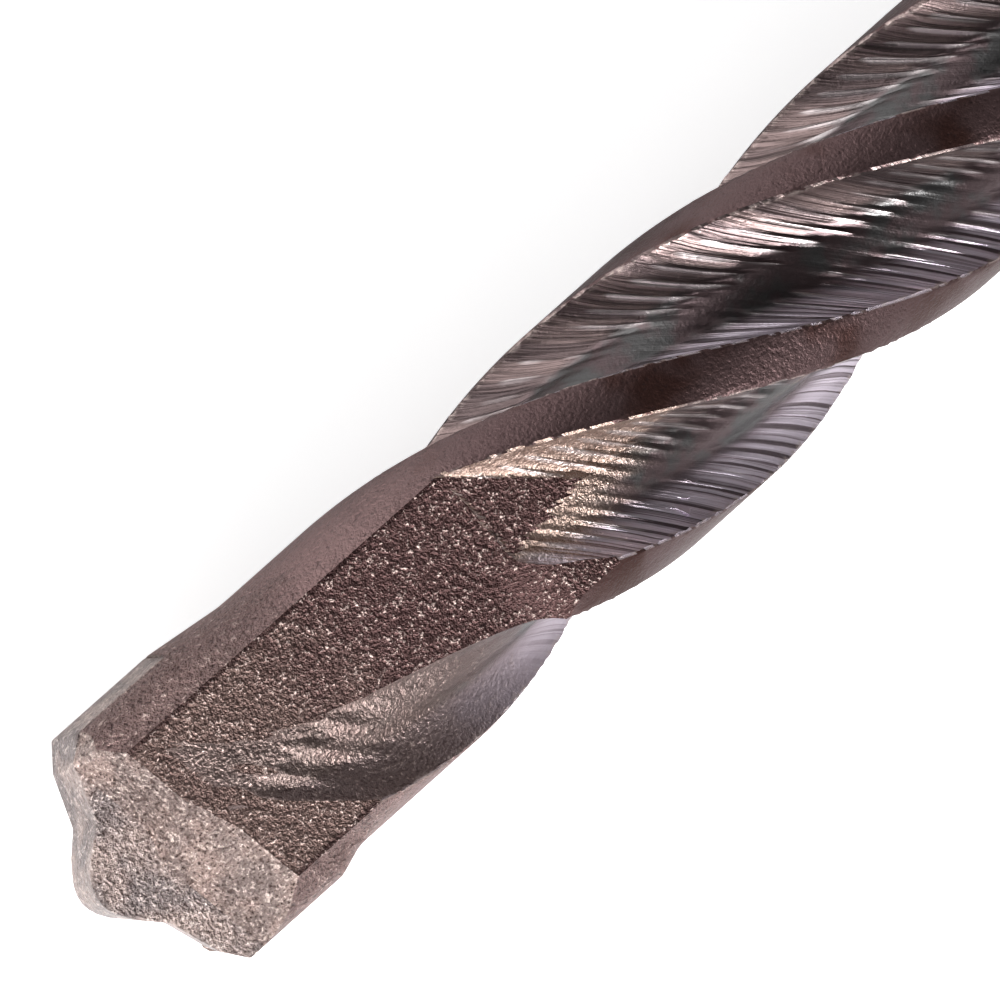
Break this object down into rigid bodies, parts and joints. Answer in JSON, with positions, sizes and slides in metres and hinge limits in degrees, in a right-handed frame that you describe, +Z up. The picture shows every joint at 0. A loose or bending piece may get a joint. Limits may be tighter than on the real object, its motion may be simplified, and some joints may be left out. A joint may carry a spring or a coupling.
{
  "type": "hammer drill bit",
  "caption": "Masonry hammer drill bit with spiral lands, flat-sided head, brazed carbide tip plate and slotted drive shank.",
  "frame": {"origin": "centre of the flat rear face of the shank, which the hammer strikes, on the bit's axis", "axes": "+X along the bit's axis from the shank to the point, +Z up, normal to the flats of the head, +Y along the width of the tip plate"},
  "size_m": [0.16, 0.01, 0.01],
  "materials": {
    "steel": "dark heat-tinted and blasted steel with bare ground edges",
    "carbide": "blasted grey tungsten carbide"
  },
  "bodies": {
    "root": {"steel_body": "steel", "carbide_tip": "carbide"}
  },
  "joints": []
}
